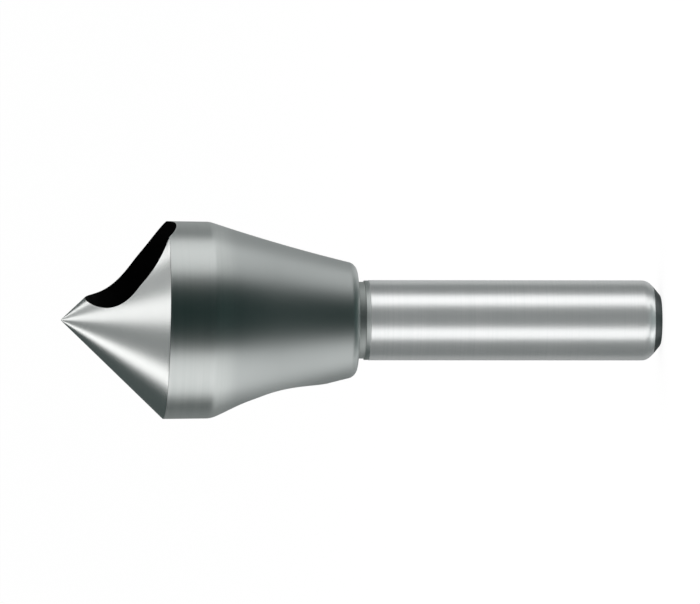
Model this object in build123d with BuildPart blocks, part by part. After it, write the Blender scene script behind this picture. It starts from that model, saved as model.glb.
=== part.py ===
"""Cross-hole deburring countersink: a turned and ground cone with one slanted hole, on a plain round shank.

Millimetres, +Z up. The tool stands on its shank end, with the point up. The origin is the centre of the end face,
and the hole's mouth looks toward +X.
"""
from build123d import *
import os
from math import cos, radians, sin, tan

# Whole tool
overall_length = 90.0

# Point: a cone with a tiny flat, ground a little out of true, so that it falls toward the hole's trailing rim
point_angle = 86.9
point_flat_diameter = 0.2
relief_lean = 0.5
relief_heading = -150.0

# Head: a land behind the cone, a slightly hollow taper and a rounded rear corner
head_diameter = 29.6
land_width = 6.7
land_drop = 0.08
land_edge_radius = 3.0
taper_length = 22.1
taper_hollow_radius = 260.0
rear_diameter = 16.8
rear_corner_radius = 1.6

# Neck: a shallow grinding groove under the head, then a short stretch left as turned
neck_groove_width = 1.1
neck_groove_depth = 0.25
neck_length = 0.7
neck_step = 0.05

# Shank: ground round, then a softened chamfer and a steeper bevel round the end face
shank_diameter = 12.0
end_chamfer_length = 0.95
end_chamfer_depth = 0.9
end_chamfer_rounding = 2.0
end_bevel_length = 1.2
end_bevel_depth = 1.45
end_bevel_rounding = 1.0

# Centre hole in the end face, where the tool was held for grinding
centre_pilot_diameter = 2.0
centre_mouth_diameter = 4.25
centre_pilot_depth = 4.4
centre_angle = 60.0

# Cross hole: an oblong hole through the head, whose wall meets the cone in the cutting edge
cross_hole_width = 15.5
cross_hole_height = 17.65
cross_hole_from_point = 19.3
cross_hole_angle = 45.0
cross_hole_side_step = 0.1

# Worked out from the sizes above
head_radius = head_diameter / 2
shank_radius = shank_diameter / 2
cone_slope = tan(radians(point_angle / 2))
apex_height = overall_length + point_flat_diameter / 2 / cone_slope
land_top = apex_height - head_radius / cone_slope
land_bottom = land_top - land_width
head_bottom = land_bottom - taper_length
groove_bottom = head_bottom - neck_groove_width
shank_top = groove_bottom - neck_length
groove_radius = shank_radius - neck_groove_depth
neck_radius = shank_radius - neck_step
chamfer_bottom_radius = shank_radius - end_chamfer_depth
end_face_radius = chamfer_bottom_radius - end_bevel_depth

with BuildPart() as countersink:
    # Turned blank: everything but the cone, as one lathe profile
    with BuildSketch(Plane.XZ) as blank_profile:
        with BuildLine():
            land = Polyline(
                (0, overall_length),
                (head_radius, overall_length),
                (head_radius, land_top),
                (head_radius - land_drop, land_bottom),
            )
            taper = RadiusArc(land @ 1, (rear_diameter / 2, head_bottom), -taper_hollow_radius)
            neck = Polyline(
                taper @ 1,
                (groove_radius, head_bottom),
                (groove_radius, groove_bottom + neck_step),
                (neck_radius, groove_bottom),
                (neck_radius, shank_top + neck_step),
                (shank_radius, shank_top),
            )
            shank = Line(neck @ 1, (shank_radius, end_bevel_length + end_chamfer_length))
            chamfer = Line(shank @ 1, (chamfer_bottom_radius, end_bevel_length))
            bevel = Line(chamfer @ 1, (end_face_radius, 0))
            Polyline(bevel @ 1, (0, 0), (0, overall_length))
        make_face()
        fillet(blank_profile.vertices().sort_by_distance(land @ 1)[0], land_edge_radius)
        fillet(blank_profile.vertices().sort_by_distance(taper @ 1)[0], rear_corner_radius)
        fillet(blank_profile.vertices().sort_by_distance(shank @ 1)[0], end_chamfer_rounding)
        fillet(blank_profile.vertices().sort_by_distance(bevel @ 1)[0], end_bevel_rounding)
    revolve(axis=Axis.Z)

    # Ground point: the waste round a cone whose axis leans through the apex
    heading = radians(relief_heading)
    radial_plane = Plane(
        (0, 0, apex_height),
        x_dir=(cos(heading), sin(heading), 0),
        z_dir=(sin(heading), -cos(heading), 0),
    )
    grinding_plane = radial_plane.rotated((0, 0, relief_lean))
    waste_radius = head_diameter
    with BuildSketch(grinding_plane):
        with BuildLine():
            Polyline(
                (0, 0),
                (waste_radius, -waste_radius / cone_slope),
                (waste_radius, head_radius),
                (0, head_radius),
                close=True,
            )
        make_face()
    revolve(axis=Axis(grinding_plane.origin, grinding_plane.y_dir), mode=Mode.SUBTRACT)

    # Cross hole, from the cone down to the taper behind it
    hole_lean = radians(cross_hole_angle)
    hole_plane = Plane(
        (0, cross_hole_side_step, overall_length - cross_hole_from_point),
        x_dir=(cos(hole_lean), 0, -sin(hole_lean)),
        z_dir=(sin(hole_lean), 0, cos(hole_lean)),
    )
    with BuildSketch(hole_plane):
        SlotOverall(cross_hole_height, cross_hole_width)
    extrude(amount=overall_length, both=True, mode=Mode.SUBTRACT)

    # Centre hole, drilled up from the end face
    with Locations(Plane.XY.rotated((180, 0, 0))):
        CounterSinkHole(
            centre_pilot_diameter / 2,
            centre_mouth_diameter / 2,
            depth=centre_pilot_depth,
            counter_sink_angle=centre_angle,
        )

countersink.part.label = "countersink"
os.makedirs("parts", exist_ok=True)
export_step(countersink.part, "parts/countersink.step")
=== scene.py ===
"""Looks of a cross-hole deburring countersink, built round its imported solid. Metres, +Z up, the point of the tool up.

The tool stands on its shank end. Sizes are written in millimetres and turned into metres where a mesh is made.
"""
from math import cos, degrees, hypot, pi, radians, sin, sqrt, tan

import bmesh
import bpy
from mathutils import Matrix, Vector


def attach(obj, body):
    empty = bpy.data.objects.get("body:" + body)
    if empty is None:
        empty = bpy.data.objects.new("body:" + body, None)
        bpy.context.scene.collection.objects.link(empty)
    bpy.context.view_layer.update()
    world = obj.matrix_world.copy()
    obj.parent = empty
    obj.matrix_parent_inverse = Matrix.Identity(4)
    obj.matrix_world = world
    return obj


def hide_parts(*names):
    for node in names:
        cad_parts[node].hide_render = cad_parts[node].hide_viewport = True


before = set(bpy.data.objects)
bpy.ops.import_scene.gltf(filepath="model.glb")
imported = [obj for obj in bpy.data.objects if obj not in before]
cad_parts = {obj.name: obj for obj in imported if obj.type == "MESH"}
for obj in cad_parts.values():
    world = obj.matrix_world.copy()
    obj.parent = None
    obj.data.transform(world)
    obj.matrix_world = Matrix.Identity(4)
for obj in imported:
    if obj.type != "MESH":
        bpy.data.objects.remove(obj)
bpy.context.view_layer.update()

MM = 0.001

# Sizes of the tool, in millimetres and degrees
TOOL_LENGTH = 90.0
POINT_ANGLE = 86.9
POINT_FLAT = 0.2
RELIEF_LEAN = 0.5
RELIEF_HEADING = -150.0
HEAD_RADIUS = 14.8
LAND_WIDTH = 6.7
LAND_DROP = 0.08
LAND_ROUNDING = 3.0
TAPER_LENGTH = 22.1
TAPER_HOLLOW = 260.0
REAR_RADIUS = 8.4
REAR_ROUNDING = 1.6
GROOVE_RADIUS = 5.75
GROOVE_WIDTH = 1.1
NECK_RADIUS = 5.95
NECK_LENGTH = 0.7
STEP = 0.05
SHANK_RADIUS = 6.0
CHAMFER_LENGTH = 0.95
CHAMFER_RADIUS = 5.1
CHAMFER_ROUNDING = 2.0
BEVEL_LENGTH = 1.2
END_RADIUS = 3.65
END_ROUNDING = 1.0
CENTRE_MOUTH_RADIUS = 2.125
CENTRE_PILOT_RADIUS = 1.0
CENTRE_DEPTH = 4.4
CENTRE_ANGLE = 60.0

# Cross hole: an oblong hole, slanted from the cone down to the taper
HOLE_WIDTH = 15.5
HOLE_HEIGHT = 17.65
HOLE_FROM_POINT = 19.3
HOLE_ANGLE = 45.0
HOLE_SIDE_STEP = 0.1

# Worked out from the sizes above
CONE_HALF = radians(POINT_ANGLE / 2)
APEX = TOOL_LENGTH + POINT_FLAT / 2 / tan(CONE_HALF)
LAND_TOP = APEX - HEAD_RADIUS / tan(CONE_HALF)
LAND_BOTTOM = LAND_TOP - LAND_WIDTH
HEAD_BOTTOM = LAND_BOTTOM - TAPER_LENGTH
GROOVE_BOTTOM = HEAD_BOTTOM - GROOVE_WIDTH
SHANK_TOP = GROOVE_BOTTOM - NECK_LENGTH
PARTING = GROOVE_BOTTOM + STEP

# How finely the surfaces are divided, and how far the softened edge between cone and land reaches
ROUND_STEPS = 384
HOLE_STEPS = 192
DEGREES_PER_RUN = 4
HOLLOW_STEPS = 16
TIP_RINGS = (0.02, 0.04, 0.07)
TIP_SHARE = 0.1
CONE_RINGS = 44
EDGE_REACH = 0.08
EDGE_STEPS = 5
EDGE_STEPS_ON_CONE = 2
LAND_RINGS = 11
LAND_RINGS_START = 0.7
LAND_RINGS_STOP = 0.8
SHANK_RINGS = 12
SHANK_RINGS_REACH = 38
REAR_FACE_REACH = 0.05
CUTTER_REACH = 45
SHARP_ANGLE = 20


def rounded(corners):
    """Lathe profile from (radius, height, rounding) corners, with each rounded corner turned into short runs."""
    points = []
    for i, (r, z, rounding) in enumerate(corners):
        here = Vector((r, z))
        if not rounding or i in (0, len(corners) - 1):
            points.append(here)
            continue
        back = (Vector(corners[i - 1][:2]) - here).normalized()
        ahead = (Vector(corners[i + 1][:2]) - here).normalized()
        turn = pi - back.angle(ahead)
        reach = rounding * tan(turn / 2)
        centre = here + (back + ahead).normalized() * hypot(reach, rounding)
        first, last = here + back * reach - centre, here + ahead * reach - centre
        steps = max(2, round(degrees(turn) / DEGREES_PER_RUN))
        for k in range(steps + 1):
            share = k / steps
            arm = first * sin((1 - share) * turn) + last * sin(share * turn)
            points.append(centre + arm / sin(turn))
    return points


def hollow_run(start, end, radius, steps):
    """Points along a shallow hollow arc between two profile corners, both left out."""
    start, end = Vector(start), Vector(end)
    chord = end - start
    outward = Vector((-chord.y, chord.x)).normalized()
    centre = (start + end) / 2 + outward * sqrt(radius ** 2 - (chord.length / 2) ** 2)
    half = (start - centre).angle(end - centre) / 2
    points = []
    for k in range(1, steps):
        turn = half * (1 - 2 * k / steps)
        points.append(centre - outward * radius * cos(turn) - chord.normalized() * radius * sin(turn))
    return points


def ring(bed, radius, height):
    """One lathe ring of vertices."""
    row = []
    for k in range(ROUND_STEPS):
        turn = 2 * pi * k / ROUND_STEPS
        row.append(bed.verts.new((radius * cos(turn) * MM, radius * sin(turn) * MM, height * MM)))
    return row


def skin(bed, upper, lower, slot):
    """Faces between two rings, looking outward when the first ring comes first along the profile."""
    for k in range(ROUND_STEPS):
        n = (k + 1) % ROUND_STEPS
        face = bed.faces.new((upper[k], lower[k], lower[n], upper[n]))
        face.material_index = slot
        face.smooth = True


def cap(bed, row, height, slot, up):
    """Flat face that closes a ring, as a fan round its centre."""
    hub = bed.verts.new((0, 0, height * MM))
    for k in range(ROUND_STEPS):
        n = (k + 1) % ROUND_STEPS
        corners = (hub, row[k], row[n]) if up else (hub, row[n], row[k])
        face = bed.faces.new(corners)
        face.material_index = slot
        face.smooth = True


def cone_edge(turn):
    """Point where the ground cone, which leans a little, meets the land at this angle round the tool."""
    lean, heading = radians(RELIEF_LEAN), radians(RELIEF_HEADING)
    axis = Vector((-cos(heading) * sin(lean), -sin(heading) * sin(lean), cos(lean)))
    search, halvings = 2, 40
    low, high = LAND_TOP - search, LAND_TOP + search
    for _ in range(halvings):
        middle = (low + high) / 2
        arm = Vector((HEAD_RADIUS * cos(turn), HEAD_RADIUS * sin(turn), middle - APEX))
        if arm.angle(-axis) > CONE_HALF:
            high = middle
        else:
            low = middle
    return Vector((HEAD_RADIUS * cos(turn), HEAD_RADIUS * sin(turn), (low + high) / 2))


def add_cone(bed, slot, land_slot):
    """Ground cone with its tiny flat at the tip; returns the ring where the land starts."""
    tip = Vector((0, 0, APEX))
    edges = [cone_edge(2 * pi * k / ROUND_STEPS) for k in range(ROUND_STEPS)]
    slant = HEAD_RADIUS / sin(CONE_HALF)
    even = [k / CONE_RINGS for k in range(1, CONE_RINGS)]
    shares = [0, *TIP_RINGS] + [share for share in even if share > TIP_SHARE] + [1 - EDGE_REACH / slant]
    rows = []
    for share in shares:
        row = []
        for edge in edges:
            flat = (APEX - TOOL_LENGTH) / (APEX - edge.z)
            part = share if share else flat
            row.append(bed.verts.new((tip + (edge - tip) * part) * MM))
        rows.append(row)
    cap(bed, rows[0], TOOL_LENGTH, slot, up=True)
    for upper, lower in zip(rows, rows[1:]):
        skin(bed, upper, lower, slot)
    above = rows[-1]
    for step in range(1, EDGE_STEPS + 1):
        share = step / EDGE_STEPS
        row = []
        for edge in edges:
            first = edge + (tip - edge).normalized() * EDGE_REACH
            last = edge - Vector((0, 0, EDGE_REACH))
            row.append(bed.verts.new(first.lerp(edge, share).lerp(edge.lerp(last, share), share) * MM))
        skin(bed, above, row, slot if step <= EDGE_STEPS_ON_CONE else land_slot)
        above = row
    return above


def finish_mesh(bed, name, materials):
    """Object with the built faces and its materials."""
    mesh = bpy.data.meshes.new(name)
    bed.normal_update()
    bed.to_mesh(mesh)
    bed.free()
    for material in materials:
        mesh.materials.append(material)
    piece = bpy.data.objects.new(name, mesh)
    bpy.context.scene.collection.objects.link(piece)
    return piece


def hole_cutter(materials, slot):
    """Long oblong bar that cuts the cross hole."""
    lean = radians(HOLE_ANGLE)
    along = Vector((sin(lean), 0, cos(lean)))
    tall = Vector((cos(lean), 0, -sin(lean)))
    side = Vector((0, 1, 0))
    centre = Vector((0, HOLE_SIDE_STEP, TOOL_LENGTH - HOLE_FROM_POINT))
    radius = HOLE_WIDTH / 2
    half = (HOLE_HEIGHT - HOLE_WIDTH) / 2
    bed = bmesh.new()
    ends = []
    for reach in (-CUTTER_REACH, CUTTER_REACH):
        row = []
        for k in range(HOLE_STEPS):
            turn = 2 * pi * (k + 0.5) / HOLE_STEPS
            shift = half if cos(turn) > 0 else -half
            place = tall * (radius * cos(turn) + shift) + side * radius * sin(turn)
            row.append(bed.verts.new((centre + along * reach + place) * MM))
        ends.append(row)
    for k in range(HOLE_STEPS):
        n = (k + 1) % HOLE_STEPS
        bed.faces.new((ends[0][k], ends[0][n], ends[1][n], ends[1][k]))
    bed.faces.new(ends[0])
    bed.faces.new(ends[1])
    bmesh.ops.recalc_face_normals(bed, faces=bed.faces)
    for face in bed.faces:
        face.material_index = slot
        face.smooth = True
    return finish_mesh(bed, "cutter", materials)


def keep_edges(mesh):
    """Leaves the true edges sharp in the smooth shading."""
    mesh.set_sharp_from_angle(angle=radians(SHARP_ANGLE))


def make_head(materials):
    """Cone, land, hollow taper, rear face and groove, with the cross hole cut through."""
    cone, turned, hole, neck = range(4)
    land_end = (HEAD_RADIUS - LAND_DROP, LAND_BOTTOM)
    rear = (REAR_RADIUS, HEAD_BOTTOM)
    corners = [(HEAD_RADIUS, LAND_TOP, 0), (*land_end, LAND_ROUNDING)]
    corners += [(*p, 0) for p in hollow_run(land_end, rear, TAPER_HOLLOW, HOLLOW_STEPS)]
    corners += [(*rear, REAR_ROUNDING), (GROOVE_RADIUS, HEAD_BOTTOM, 0)]
    profile = rounded(corners)[1:]
    bed = bmesh.new()
    row = add_cone(bed, cone, turned)
    span = LAND_WIDTH - LAND_RINGS_START - LAND_RINGS_STOP
    for k in range(LAND_RINGS):
        height = LAND_TOP - LAND_RINGS_START - span * k / (LAND_RINGS - 1)
        drop = LAND_DROP * (LAND_TOP - height) / LAND_WIDTH
        below = ring(bed, HEAD_RADIUS - drop, height)
        skin(bed, row, below, turned)
        row = below
    for r, z in profile:
        below = ring(bed, r, z)
        skin(bed, row, below, turned if z > HEAD_BOTTOM + REAR_FACE_REACH else neck)
        row = below
    below = ring(bed, GROOVE_RADIUS, PARTING)
    skin(bed, row, below, neck)
    cap(bed, below, PARTING, neck, up=False)
    piece = finish_mesh(bed, "countersink_head", materials)
    cutter = hole_cutter(materials, hole)
    cut = piece.modifiers.new("cross hole", "BOOLEAN")
    cut.operation = "DIFFERENCE"
    cut.solver = "EXACT"
    cut.object = cutter
    bpy.context.view_layer.update()
    seen = piece.evaluated_get(bpy.context.evaluated_depsgraph_get())
    mesh = bpy.data.meshes.new_from_object(seen)
    piece.modifiers.clear()
    piece.data = mesh
    mesh.name = "countersink_head"
    bpy.data.objects.remove(cutter)
    keep_edges(mesh)
    return piece


def make_shank(materials):
    """Neck and ground shank, with a rounded chamfer, a bevel painted dark as shade, end face and centre hole."""
    ground, bevel, neck = range(3)
    bed = bmesh.new()
    row = ring(bed, GROOVE_RADIUS, PARTING)
    cap(bed, row, PARTING, neck, up=True)
    for height in (GROOVE_BOTTOM, SHANK_TOP + STEP):
        below = ring(bed, NECK_RADIUS, height)
        skin(bed, row, below, neck)
        row = below
    body = rounded([
        (NECK_RADIUS, SHANK_TOP + STEP, 0),
        (SHANK_RADIUS, SHANK_TOP, 0),
        (SHANK_RADIUS, BEVEL_LENGTH + CHAMFER_LENGTH, CHAMFER_ROUNDING),
        (CHAMFER_RADIUS, BEVEL_LENGTH, 0),
    ])[1:]
    heights = [SHANK_TOP - SHANK_RINGS_REACH * k / SHANK_RINGS for k in range(1, SHANK_RINGS + 1)]
    body = body[:1] + [(SHANK_RADIUS, z) for z in heights] + body[1:]
    for r, z in body:
        below = ring(bed, r, z)
        skin(bed, row, below, ground)
        row = below
    cone_depth = (CENTRE_MOUTH_RADIUS - CENTRE_PILOT_RADIUS) / tan(radians(CENTRE_ANGLE / 2))
    end = rounded([
        (CHAMFER_RADIUS, BEVEL_LENGTH, 0),
        (END_RADIUS, 0, END_ROUNDING),
        (CENTRE_MOUTH_RADIUS, 0, 0),
        (CENTRE_PILOT_RADIUS, cone_depth, 0),
        (CENTRE_PILOT_RADIUS, CENTRE_DEPTH, 0),
    ])[1:]
    for r, z in end:
        below = ring(bed, r, z)
        skin(bed, row, below, bevel)
        row = below
    cap(bed, row, CENTRE_DEPTH, bevel, up=False)
    piece = finish_mesh(bed, "countersink_shank", materials)
    keep_edges(piece.data)
    return piece


def put(nodes, kind, **settings):
    """New node with its settings."""
    node = nodes.new(kind)
    for key, value in settings.items():
        setattr(node, key, value)
    return node


def sum_node(tree, operation, first, second=None, third=None):
    """Math node fed by sockets or plain numbers; returns its result."""
    node = put(tree.nodes, "ShaderNodeMath", operation=operation)
    for k, value in enumerate((first, second, third)):
        if value is None:
            continue
        if isinstance(value, (int, float)):
            node.inputs[k].default_value = value
        else:
            tree.links.new(value, node.inputs[k])
    return node.outputs[0]


def fade(tree, value, start, end, low=1.0, high=0.0):
    """Soft change from one level to another while a value goes from start to end."""
    node = put(tree.nodes, "ShaderNodeMapRange", interpolation_type="SMOOTHSTEP")
    for name, what in (("Value", value), ("From Min", start), ("From Max", end), ("To Min", low), ("To Max", high)):
        if isinstance(what, (int, float)):
            node.inputs[name].default_value = what
        else:
            tree.links.new(what, node.inputs[name])
    return node.outputs["Result"]


def place_in_mm(tree):
    """Place on the tool in millimetres, as three separate lengths."""
    spot = tree.nodes.new("ShaderNodeTexCoord")
    scale = put(tree.nodes, "ShaderNodeVectorMath", operation="SCALE")
    scale.inputs["Scale"].default_value = 1 / MM
    tree.links.new(spot.outputs["Object"], scale.inputs[0])
    split = tree.nodes.new("ShaderNodeSeparateXYZ")
    tree.links.new(scale.outputs[0], split.inputs[0])
    return split.outputs


def grain(tree, parts, steps, detail):
    """Noise over three lengths, each divided by its own step."""
    join = tree.nodes.new("ShaderNodeCombineXYZ")
    for k, (part, step) in enumerate(zip(parts, steps)):
        tree.links.new(sum_node(tree, "DIVIDE", part, step), join.inputs[k])
    noise = tree.nodes.new("ShaderNodeTexNoise")
    noise.inputs["Scale"].default_value = 1.0
    noise.inputs["Detail"].default_value = detail
    tree.links.new(join.outputs[0], noise.inputs["Vector"])
    return noise.outputs["Fac"]


def blend(tree, share, first, second):
    """Colour between two others."""
    mix = put(tree.nodes, "ShaderNodeMix", data_type="RGBA")
    tree.links.new(share, mix.inputs["Factor"])
    tree.links.new(first, mix.inputs["A"])
    tree.links.new(second, mix.inputs["B"])
    return mix.outputs["Result"]


# Finish of the turned metal: where noise turns from dark to light, how the tool lines run, how ragged the edge wear and
# painted edge highlight are
NOISE_DARK, NOISE_LIGHT = 0.35, 0.65
LINE_STRETCH = 40.0
BROAD_STRETCH = 60.0
BROAD_SPACING = 6.0
BROAD_SHARE = 0.4
RAGGED_SIZE = 2.0
RAGGED_REACH = 2.0


def lathe_finish():
    """Metal finish round the tool's axis: tool lines, cloudy tone, a tone ramp along the axis that paints shade, and a
    lighter tone along edges and the hole's rim that is partly wear and partly painted highlight.
    """
    tree = bpy.data.node_groups.new("lathe_finish", "ShaderNodeTree")
    for name, kind, value in (
        ("Tone", "NodeSocketColor", (0.5, 0.5, 0.5, 1)),
        ("Line Tone", "NodeSocketColor", (0.4, 0.4, 0.4, 1)),
        ("Worn Tone", "NodeSocketColor", (0.8, 0.8, 0.8, 1)),
        ("Line Spacing", "NodeSocketFloat", 0.2),
        ("Line Strength", "NodeSocketFloat", 0.5),
        ("Cloud Size", "NodeSocketFloat", 6.0),
        ("Cloud Strength", "NodeSocketFloat", 0.3),
        ("Roughness", "NodeSocketFloat", 0.3),
        ("Roughness Spread", "NodeSocketFloat", 0.06),
        ("First Edge", "NodeSocketFloat", 0.0),
        ("Second Edge", "NodeSocketFloat", 0.0),
        ("Edge Width", "NodeSocketFloat", 0.3),
        ("Rim Width", "NodeSocketFloat", 0.3),
        ("Wear", "NodeSocketFloat", 0.6),
        ("Far Tone", "NodeSocketColor", (0.5, 0.5, 0.5, 1)),
        ("Far From", "NodeSocketFloat", -10.0),
        ("Far To", "NodeSocketFloat", -11.0),
        ("Rear Roughness", "NodeSocketFloat", 0.5),
        ("Rear From", "NodeSocketFloat", -10.0),
        ("Rear To", "NodeSocketFloat", -11.0),
    ):
        tree.interface.new_socket(name, in_out="INPUT", socket_type=kind).default_value = value
    tree.interface.new_socket("Base Color", in_out="OUTPUT", socket_type="NodeSocketColor")
    tree.interface.new_socket("Roughness", in_out="OUTPUT", socket_type="NodeSocketFloat")
    tree.interface.new_socket("Height", in_out="OUTPUT", socket_type="NodeSocketFloat")
    given = tree.nodes.new("NodeGroupInput").outputs
    made = tree.nodes.new("NodeGroupOutput").inputs
    x, y, z = place_in_mm(tree)
    spacing = given["Line Spacing"]
    fine = grain(tree, (x, y, z), (LINE_STRETCH, LINE_STRETCH, spacing), 0.0)
    broad_spacing = sum_node(tree, "MULTIPLY", spacing, BROAD_SPACING)
    broad = grain(tree, (x, y, z), (BROAD_STRETCH, BROAD_STRETCH, broad_spacing), 1.0)
    fine_part = sum_node(tree, "MULTIPLY", fine, 1 - BROAD_SHARE)
    lines = sum_node(tree, "ADD", fine_part, sum_node(tree, "MULTIPLY", broad, BROAD_SHARE))
    cloud = grain(tree, (x, y, z), (given["Cloud Size"],) * 3, 1.0)
    line_share = sum_node(tree, "MULTIPLY", fade(tree, lines, NOISE_DARK, NOISE_LIGHT), given["Line Strength"])
    cloud_share = sum_node(tree, "MULTIPLY", fade(tree, cloud, NOISE_DARK, NOISE_LIGHT), given["Cloud Strength"])
    marked = sum_node(tree, "MAXIMUM", line_share, cloud_share)
    # Painted shade: the tone ramps along the axis to the shade ramp tone, darker on the taper past the land and lighter
    # below the neck's shaded groove
    far = fade(tree, z, given["Far From"], given["Far To"], 0.0, 1.0)
    tone = blend(tree, far, blend(tree, marked, given["Tone"], given["Line Tone"]), given["Far Tone"])
    # Lighter tone along the lathe edges and the hole's rim: partly wear, partly painted highlight
    from_first = sum_node(tree, "ABSOLUTE", sum_node(tree, "SUBTRACT", z, given["First Edge"]))
    from_second = sum_node(tree, "ABSOLUTE", sum_node(tree, "SUBTRACT", z, given["Second Edge"]))
    from_edge = sum_node(tree, "MINIMUM", from_first, from_second)
    ragged = sum_node(tree, "MULTIPLY", grain(tree, (x, y, z), (RAGGED_SIZE,) * 3, 1.0), RAGGED_REACH)
    edge_wear_and_highlight = fade(tree, sum_node(tree, "DIVIDE", from_edge, given["Edge Width"]), 0.0, ragged)
    lean = radians(HOLE_ANGLE)
    up_hole = sum_node(tree, "SUBTRACT", z, TOOL_LENGTH - HOLE_FROM_POINT)
    tall = sum_node(tree, "MULTIPLY", x, cos(lean))
    tall = sum_node(tree, "MULTIPLY_ADD", up_hole, -sin(lean), tall)
    half = (HOLE_HEIGHT - HOLE_WIDTH) / 2
    past = sum_node(tree, "MAXIMUM", sum_node(tree, "SUBTRACT", sum_node(tree, "ABSOLUTE", tall), half), 0.0)
    aside = sum_node(tree, "SUBTRACT", y, HOLE_SIDE_STEP)
    squares = sum_node(tree, "MULTIPLY_ADD", aside, aside, sum_node(tree, "MULTIPLY", past, past))
    from_rim = sum_node(tree, "SUBTRACT", sum_node(tree, "SQRT", squares), HOLE_WIDTH / 2)
    rim_wear_and_highlight = fade(tree, sum_node(tree, "DIVIDE", from_rim, given["Rim Width"]), 0.0, ragged)
    worn = sum_node(tree, "MULTIPLY", sum_node(tree, "MAXIMUM", edge_wear_and_highlight, rim_wear_and_highlight), given["Wear"])
    tree.links.new(blend(tree, worn, tone, given["Worn Tone"]), made["Base Color"])
    unevenness = sum_node(tree, "SUBTRACT", sum_node(tree, "ADD", lines, cloud), 1.0)
    level = fade(tree, z, given["Rear From"], given["Rear To"], given["Roughness"], given["Rear Roughness"])
    rough = sum_node(tree, "MULTIPLY_ADD", unevenness, given["Roughness Spread"], level)
    tree.links.new(rough, made["Roughness"])
    tree.links.new(lines, made["Height"])
    return tree


FINISH = lathe_finish()


def turned_metal(name, metallic, line_height, **values):
    """Metal with the shared lathe finish, given its own tones, lines and edges."""
    material = bpy.data.materials.new(name)
    material.use_nodes = True
    nodes, links = material.node_tree.nodes, material.node_tree.links
    shader = nodes["Principled BSDF"]
    shader.inputs["Metallic"].default_value = metallic
    finish = put(nodes, "ShaderNodeGroup", node_tree=FINISH)
    for key, value in values.items():
        socket = finish.inputs[key.replace("_", " ").title()]
        socket.default_value = (*value, 1) if isinstance(value, tuple) else value
    links.new(finish.outputs["Base Color"], shader.inputs["Base Color"])
    links.new(finish.outputs["Roughness"], shader.inputs["Roughness"])
    bump = nodes.new("ShaderNodeBump")
    bump.inputs["Strength"].default_value = 1.0
    bump.inputs["Distance"].default_value = line_height * MM
    links.new(finish.outputs["Height"], bump.inputs["Height"])
    links.new(bump.outputs["Normal"], shader.inputs["Normal"])
    return material


def ground_cone():
    """Finely ground cone, the brightest face, with a lighter line where it meets the hole and the land, partly polish
    and partly painted highlight.
    """
    return turned_metal(
        "ground_cone", 1.0, 0.0001,
        tone=(0.80, 0.80, 0.79), line_tone=(0.74, 0.75, 0.74), worn_tone=(0.88, 0.88, 0.87),
        line_spacing=0.34, line_strength=0.25, cloud_size=6.0, cloud_strength=0.25,
        roughness=0.27, roughness_spread=0.01,
        first_edge=LAND_TOP, second_edge=TOOL_LENGTH, edge_width=0.25, rim_width=0.3, wear=0.5,
    )


def turned_head():
    """Land and taper: darker, cooler metal with fine turning lines, painted shade that darkens the taper past the land,
    and lighter edges that are part wear, part painted highlight.
    """
    return turned_metal(
        "turned_head", 1.0, 0.0008,
        tone=(0.585, 0.60, 0.59), line_tone=(0.54, 0.56, 0.55), worn_tone=(0.68, 0.69, 0.68),
        line_spacing=0.36, line_strength=0.6, cloud_size=8.0, cloud_strength=0.4,
        roughness=0.37, roughness_spread=0.03,
        first_edge=LAND_TOP, second_edge=TOOL_LENGTH, edge_width=0.3, rim_width=0.35, wear=0.4,
        far_tone=(0.475, 0.493, 0.488), far_from=LAND_BOTTOM - 1.2, far_to=LAND_BOTTOM - 4.0,
        rear_roughness=0.47, rear_from=LAND_BOTTOM, rear_to=LAND_BOTTOM - 12,
    )


def turned_neck():
    """Groove and neck, left as turned: a dull surface, with painted shade darkening the groove, and a lighter edge at
    the shank that is part wear, part painted highlight.
    """
    return turned_metal(
        "turned_neck", 1.0, 0.0015,
        tone=(0.50, 0.52, 0.51), line_tone=(0.42, 0.44, 0.43), worn_tone=(0.84, 0.84, 0.84),
        line_spacing=0.30, line_strength=0.5, cloud_size=3.0, cloud_strength=0.5,
        roughness=0.60, roughness_spread=0.08,
        first_edge=SHANK_TOP, second_edge=SHANK_TOP, edge_width=0.35, wear=0.6,
        far_tone=(0.68, 0.70, 0.69), far_from=GROOVE_BOTTOM + 0.2, far_to=GROOVE_BOTTOM - 0.1,
        rear_roughness=0.56, rear_from=GROOVE_BOTTOM + 0.1, rear_to=GROOVE_BOTTOM - 0.2,
    )


def ground_shank():
    """Ground shank, bright and a little satin, lighter along its two ends, partly rubbed and partly painted highlight.
    """
    return turned_metal(
        "ground_shank", 0.84, 0.0005,
        tone=(0.84, 0.84, 0.84), line_tone=(0.76, 0.77, 0.77), worn_tone=(0.92, 0.92, 0.92),
        line_spacing=0.34, line_strength=0.5, cloud_size=8.0, cloud_strength=0.35,
        roughness=0.34, roughness_spread=0.03,
        first_edge=SHANK_TOP, second_edge=BEVEL_LENGTH + CHAMFER_LENGTH, edge_width=0.2, wear=0.4,
    )


def bevel_with_painted_shade():
    """Bevel, end face and centre hole: turned, with their dark tone painted shade, and lighter edges that are part
    wear, part painted highlight.
    """
    return turned_metal(
        "bevel_with_painted_shade", 1.0, 0.0020,
        tone=(0.19, 0.20, 0.20), line_tone=(0.13, 0.14, 0.14), worn_tone=(0.40, 0.41, 0.41),
        line_spacing=0.30, line_strength=0.8, cloud_size=2.5, cloud_strength=0.6,
        roughness=0.48, roughness_spread=0.10,
        first_edge=BEVEL_LENGTH, second_edge=0.0, edge_width=0.10, wear=0.5,
    )


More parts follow.
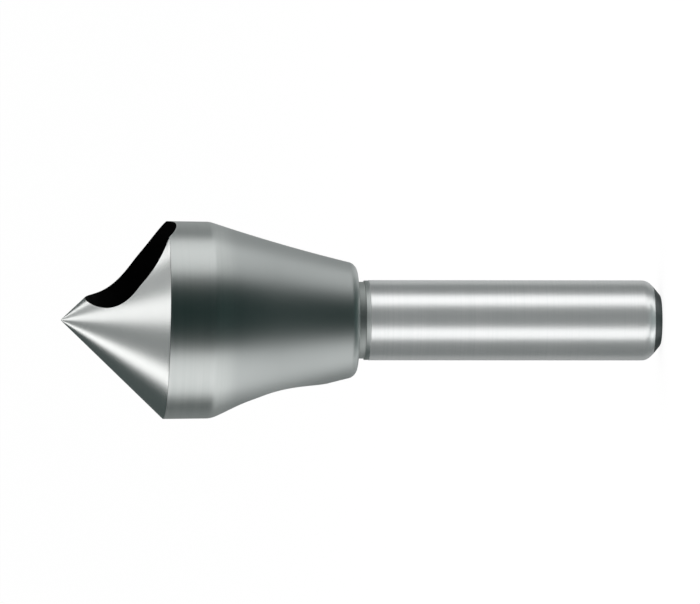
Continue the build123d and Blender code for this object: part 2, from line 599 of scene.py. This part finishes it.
def hole_scale_and_painted_shade():
    """Wall of the cross hole: black scale from hardening over drilling marks, thinner toward the hole's exit, with
    painted shade keeping the wall near black toward the mouth.
    """
    material = bpy.data.materials.new("hole_scale_and_painted_shade")
    material.use_nodes = True
    tree = material.node_tree
    shader = tree.nodes["Principled BSDF"]
    shader.inputs["Specular IOR Level"].default_value = 0.05
    x, y, z = place_in_mm(tree)
    lean = radians(HOLE_ANGLE)
    along = sum_node(tree, "MULTIPLY_ADD", z, cos(lean), sum_node(tree, "MULTIPLY", x, sin(lean)))
    tall = sum_node(tree, "MULTIPLY_ADD", z, -sin(lean), sum_node(tree, "MULTIPLY", x, cos(lean)))
    mark_spacing, mark_stretch, mark_depth = 0.35, 30.0, 0.01
    marks = grain(tree, (along, tall, y), (mark_spacing, mark_stretch, mark_stretch), 2.0)
    flake_size = 1.4
    flakes = grain(tree, (along, tall, y), (flake_size,) * 3, 4.0)
    ramp = tree.nodes.new("ShaderNodeValToRGB")
    thick, thin = ramp.color_ramp.elements
    thick.position, thick.color = 0.40, (0.0006, 0.0006, 0.0006, 1)
    thin.position, thin.color = 0.70, (0.0011, 0.0012, 0.0012, 1)
    tree.links.new(flakes, ramp.inputs[0])
    # Painted shade: the wall stays near black toward the mouth and turns paler toward the exit
    hole_middle = (TOOL_LENGTH - HOLE_FROM_POINT) * cos(lean)
    paler_length, paler_at_exit = 12, 60.0
    gain = fade(tree, along, hole_middle, hole_middle - paler_length, 1.0, paler_at_exit)
    paler = put(tree.nodes, "ShaderNodeVectorMath", operation="SCALE")
    tree.links.new(ramp.outputs[0], paler.inputs[0])
    tree.links.new(gain, paler.inputs["Scale"])
    tree.links.new(paler.outputs[0], shader.inputs["Base Color"])
    dull, less_dull = 0.85, 0.65
    tree.links.new(fade(tree, flakes, NOISE_DARK, NOISE_LIGHT, dull, less_dull), shader.inputs["Roughness"])
    bump = tree.nodes.new("ShaderNodeBump")
    bump.inputs["Distance"].default_value = mark_depth * MM
    tree.links.new(marks, bump.inputs["Height"])
    tree.links.new(bump.outputs["Normal"], shader.inputs["Normal"])
    return material


neck_metal = turned_neck()
head = make_head([ground_cone(), turned_head(), hole_scale_and_painted_shade(), neck_metal])
shank = make_shank([ground_shank(), bevel_with_painted_shade(), neck_metal])
for piece in (head, shank):
    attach(piece, "root")
    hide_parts("countersink")

# Camera, measured from the photograph: degrees, metres, and the point's place in pixels
VIEW_AZIMUTH = 15.9
VIEW_HEIGHT = 4.4
VIEW_ROLL = 0.05
VIEW_DISTANCE = 3.0
MM_PER_PIXEL = 0.1495
PICTURE_WIDTH, PICTURE_HEIGHT = 700, 604
APEX_IN_PICTURE = (60.35, 319.95)
SENSOR_WIDTH = 36
UP = Vector((0, 0, 1))

camera_side = Vector((sin(radians(VIEW_AZIMUTH)), -cos(radians(VIEW_AZIMUTH)), 0))
picture_up = Vector((cos(radians(VIEW_AZIMUTH)), sin(radians(VIEW_AZIMUTH)), 0))


def toward(azimuth, height):
    """Direction from the tool, azimuth measured from the camera's side toward the picture's top, in degrees."""
    a, h = radians(azimuth), radians(height)
    return (camera_side * cos(a) + picture_up * sin(a)) * cos(h) + UP * sin(h)


def make_camera():
    """Side view of the standing tool, rolled so that the point is on the left as in the photograph."""
    back = toward(0, VIEW_HEIGHT)
    level = (back * UP.dot(back) - UP).normalized()
    up = back.cross(level)
    roll = radians(VIEW_ROLL)
    right = level * cos(roll) + up * sin(roll)
    up = back.cross(right)
    tip = UP * APEX * MM
    step = MM_PER_PIXEL * MM
    aim = tip + right * (PICTURE_WIDTH / 2 - APEX_IN_PICTURE[0]) * step
    aim += up * (APEX_IN_PICTURE[1] - PICTURE_HEIGHT / 2) * step
    data = bpy.data.cameras.new("camera")
    data.sensor_width = SENSOR_WIDTH
    data.lens = SENSOR_WIDTH * VIEW_DISTANCE / (PICTURE_WIDTH * step)
    data.clip_end = 100
    camera = bpy.data.objects.new("camera", data)
    bpy.context.scene.collection.objects.link(camera)
    turn = Matrix((right, up, back)).transposed().to_4x4()
    camera.matrix_world = Matrix.Translation(aim + back * VIEW_DISTANCE) @ turn
    bpy.context.scene.camera = camera


make_camera()

# Lamps, in metres from the place on the tool that they face
LAMP_DISTANCE = 0.5
HEAD_MIDDLE = UP * 0.056
SHANK_LOWER_PART = UP * 0.02
LEAN_SHARE = 0.25
LEAN_SPAN = 20


def lamp(name, direction, along, width, length, radiance, only=None, middle=HEAD_MIDDLE):
    """Soft panel that faces the tool: width across, length along the given direction, in metres."""
    data = bpy.data.lights.new(name, "AREA")
    data.shape = "RECTANGLE"
    data.size, data.size_y = width, length
    data.energy = radiance * pi * width * length
    panel = bpy.data.objects.new(name, data)
    bpy.context.scene.collection.objects.link(panel)
    back = direction.normalized()
    tall = (along - back * along.dot(back)).normalized()
    turn = Matrix((tall.cross(back), tall, back)).transposed().to_4x4()
    panel.matrix_world = Matrix.Translation(middle + back * LAMP_DISTANCE) @ turn
    panel.visible_camera = False
    if only:
        lit = bpy.data.collections.new(name + "_lights")
        lit.objects.link(only)
        panel.light_linking.receiver_collection = lit


def cone_direction(turn):
    """Where the cone's face at this angle from the camera's side, in degrees, sends the camera's view."""
    face = toward(turn, degrees(CONE_HALF))
    view = toward(0, VIEW_HEIGHT)
    return face * 2 * view.dot(face) - view


def from_camera(front, side, height):
    """Direction with its parts toward the camera, toward the picture's top and toward the tool's point."""
    return camera_side * front + picture_up * side + UP * height


def slanted(azimuth, height):
    """Along direction of a panel whose lower end lies farther behind the tool."""
    shift = LEAN_SPAN * LEAN_SHARE * (1 if azimuth > 0 else -1)
    return toward(azimuth - shift, height + LEAN_SPAN) - toward(azimuth + shift, height - LEAN_SPAN)


# Two broad panels give the head its bands, two small ones carry them on to its rear
lamp("head_upper", toward(82.2, -8), slanted(82.2, -8), width=0.50, length=0.50, radiance=1.18, only=head)
lamp("head_lower", toward(-69.5, -12), slanted(-69.5, -12), width=0.57, length=0.58, radiance=1.25, only=head)
lamp("head_upper_rear", toward(122, -28), UP, width=0.22, length=0.24, radiance=0.3, only=head)
lamp("head_lower_rear", toward(-115, -28), UP, width=0.22, length=0.24, radiance=0.6, only=head)

# Strips behind and below the tool, which the rounded rear corner reflects
lamp(
    "corner_upper", from_camera(-0.62, 0.44, -0.65), from_camera(-0.43, -0.49, 0.08),
    width=0.20, length=0.45, radiance=1.0, only=head,
)
lamp(
    "corner_lower", from_camera(-0.43, -0.47, -0.77), from_camera(-0.60, 0.49, 0.08),
    width=0.20, length=0.45, radiance=1.1, only=head,
)

# Two long strips for the shank, and one below it for each side of its chamfer
for name, azimuth in (("shank_upper", 60), ("shank_lower", -38.5)):
    lamp(
        name, toward(azimuth, 0), UP,
        width=0.30, length=1.2, radiance=1.37, only=shank, middle=SHANK_LOWER_PART,
    )
lamp(
    "chamfer_upper", from_camera(-0.10, 0.48, -0.87), from_camera(0.27, 0.20, 0.10),
    width=0.13, length=0.40, radiance=1.5, only=shank, middle=SHANK_LOWER_PART,
)
lamp(
    "chamfer_lower", from_camera(0, -0.40, -0.92), from_camera(0.41, -0.16, 0.08),
    width=0.14, length=0.40, radiance=1.5, only=shank, middle=SHANK_LOWER_PART,
)

# One panel for each light band on the cone, placed by where its face sends the camera's view
for name, turn, width, radiance in (
    ("cone_a", 7.0, 0.17, 0.92),
    ("cone_b", -33.9, 0.145, 1.36),
    ("cone_c", 44.5, 0.16, 1.18),
):
    along = cone_direction(turn + 5).cross(cone_direction(turn - 5))
    lamp(name, cone_direction(turn), along, width, length=0.5, radiance=radiance)


def emission(tree, color, strength):
    """Light of one colour, with its strength a number or a socket."""
    node = tree.nodes.new("ShaderNodeEmission")
    node.inputs["Color"].default_value = (*color, 1)
    if isinstance(strength, (int, float)):
        node.inputs["Strength"].default_value = strength
    else:
        tree.links.new(strength, node.inputs["Strength"])
    return node.outputs[0]


def add_light(tree, first, second):
    """Two lights together."""
    node = tree.nodes.new("ShaderNodeAddShader")
    tree.links.new(first, node.inputs[0])
    tree.links.new(second, node.inputs[1])
    return node.outputs[0]


def tent_material():
    """What reflections see beyond the lamps: dark and cool in front, paler overhead and behind."""
    material = bpy.data.materials.new("reflection_tent")
    material.use_nodes = True
    tree = material.node_tree
    tree.nodes.clear()
    out = tree.nodes.new("ShaderNodeOutputMaterial")
    spot = tree.nodes.new("ShaderNodeTexCoord")
    unit = put(tree.nodes, "ShaderNodeVectorMath", operation="NORMALIZE")
    tree.links.new(spot.outputs["Object"], unit.inputs[0])
    split = tree.nodes.new("ShaderNodeSeparateXYZ")
    tree.links.new(unit.outputs[0], split.inputs[0])
    front, side, height = split.outputs
    # Overhead, brighter on the side of the picture's top
    overhead = fade(tree, height, 0.64, 0.88, 0.0, fade(tree, side, -0.2, 0.3, 0.21, 0.38))
    # Behind the tool, weaker above its middle and gone far below it
    behind = sum_node(tree, "MULTIPLY", fade(tree, front, -0.75, -0.42), fade(tree, side, -0.3, 0.3, 0.28, 0.43))
    behind = sum_node(tree, "MULTIPLY", behind, fade(tree, height, 0.02, 0.18, 1.0, 0.2))
    behind = sum_node(tree, "MULTIPLY", behind, fade(tree, height, -0.62, -0.42, 0.0, 1.0))
    # Under the tool, faint
    low = fade(tree, height, -0.88, -0.66, 0.09, 0.0)
    neutral = emission(tree, (1, 1, 1), sum_node(tree, "ADD", overhead, behind))
    total = add_light(tree, neutral, emission(tree, (0.60, 1.0, 0.94), low))
    total = add_light(tree, total, emission(tree, (0.003, 0.021, 0.019), 1.0))
    tree.links.new(total, out.inputs["Surface"])
    material.cycles.emission_sampling = "NONE"
    return material


# Surroundings: metres, and how much of the floor's own white the camera sees beside its shading
TENT_RADIUS = 1.2
FLOOR_SIZE = 6
FLOOR_WHITE_SHARE = 0.9


def make_tent():
    """Large ball that only reflections see, turned to face the camera."""
    bed = bmesh.new()
    bmesh.ops.create_uvsphere(bed, u_segments=64, v_segments=32, radius=TENT_RADIUS)
    tent = finish_mesh(bed, "reflection_tent", [tent_material()])
    tent.matrix_world = Matrix((camera_side, picture_up, UP)).transposed().to_4x4()
    tent.visible_camera = False
    tent.visible_diffuse = False
    tent.visible_shadow = False
    tent.visible_transmission = False


make_tent()


def white_for_seen(tree, other, white, share):
    """Shader that turns white, by this share, where the camera, a reflection or glass sees it."""
    path = tree.nodes.new("ShaderNodeLightPath").outputs
    seen = sum_node(tree, "MAXIMUM", path["Is Camera Ray"], path["Is Glossy Ray"])
    seen = sum_node(tree, "MAXIMUM", seen, path["Is Transmission Ray"])
    mix = tree.nodes.new("ShaderNodeMixShader")
    tree.links.new(sum_node(tree, "MULTIPLY", seen, share), mix.inputs[0])
    tree.links.new(other, mix.inputs[1])
    tree.links.new(white, mix.inputs[2])
    return mix.outputs[0]


def make_floor():
    """Pale floor that is nearly white to the camera and still takes the tool's shadow."""
    material = bpy.data.materials.new("pale_floor")
    material.use_nodes = True
    tree = material.node_tree
    tree.nodes.clear()
    out = tree.nodes.new("ShaderNodeOutputMaterial")
    matt = tree.nodes.new("ShaderNodeBsdfDiffuse")
    matt.inputs["Color"].default_value = (0.96, 0.96, 0.96, 1)
    surface = white_for_seen(tree, matt.outputs[0], emission(tree, (1, 1, 1), 1.0), FLOOR_WHITE_SHARE)
    tree.links.new(surface, out.inputs["Surface"])
    bed = bmesh.new()
    bmesh.ops.create_grid(bed, x_segments=1, y_segments=1, size=FLOOR_SIZE)
    floor = finish_mesh(bed, "floor", [material])
    floor.visible_glossy = False
    floor.visible_shadow = False


make_floor()


def make_world():
    """White room round the tool, at strength 1."""
    world = bpy.data.worlds.new("studio")
    bpy.context.scene.world = world
    world.use_nodes = True
    tree = world.node_tree
    tree.nodes.clear()
    out = tree.nodes.new("ShaderNodeOutputWorld")
    room = tree.nodes.new("ShaderNodeBackground")
    room.inputs["Color"].default_value = (1, 1, 1, 1)
    tree.links.new(room.outputs[0], out.inputs["Surface"])
    world.cycles.sampling_method = "NONE"


make_world()
bpy.context.scene.view_settings.view_transform = "Standard"
